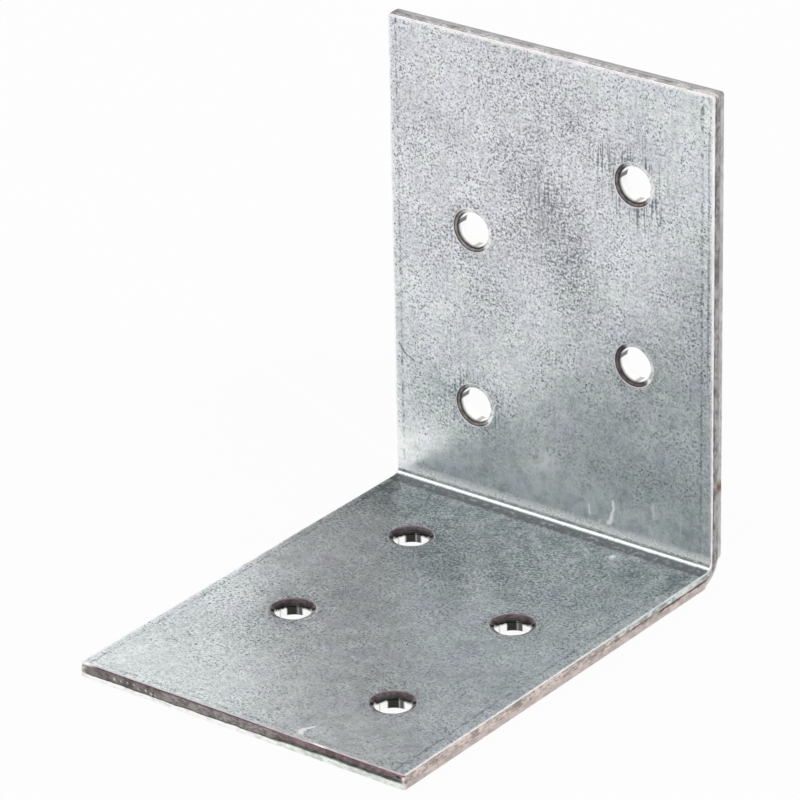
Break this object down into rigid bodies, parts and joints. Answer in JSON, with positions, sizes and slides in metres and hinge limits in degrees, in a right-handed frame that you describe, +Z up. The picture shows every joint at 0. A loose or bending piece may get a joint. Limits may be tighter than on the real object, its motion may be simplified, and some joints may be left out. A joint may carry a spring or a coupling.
{
  "type": "corner brace bracket",
  "caption": "Square-folded zinc-coated steel sheet angle with staggered punched screw holes in both equal legs, for fastening timber corners.",
  "frame": {"origin": "under the middle of the part, on the outer face of the foot leg", "axes": "+X across the width, +Y from the foot leg's free end towards the wall leg, +Z up along the wall leg"},
  "size_m": [0.06, 0.08, 0.08],
  "materials": {
    "zinc_coated_steel": "thin zinc coating, mottled light grey, satin, with small scratches"
  },
  "bodies": {
    "root": {"corner_brace": "zinc_coated_steel"}
  },
  "joints": []
}
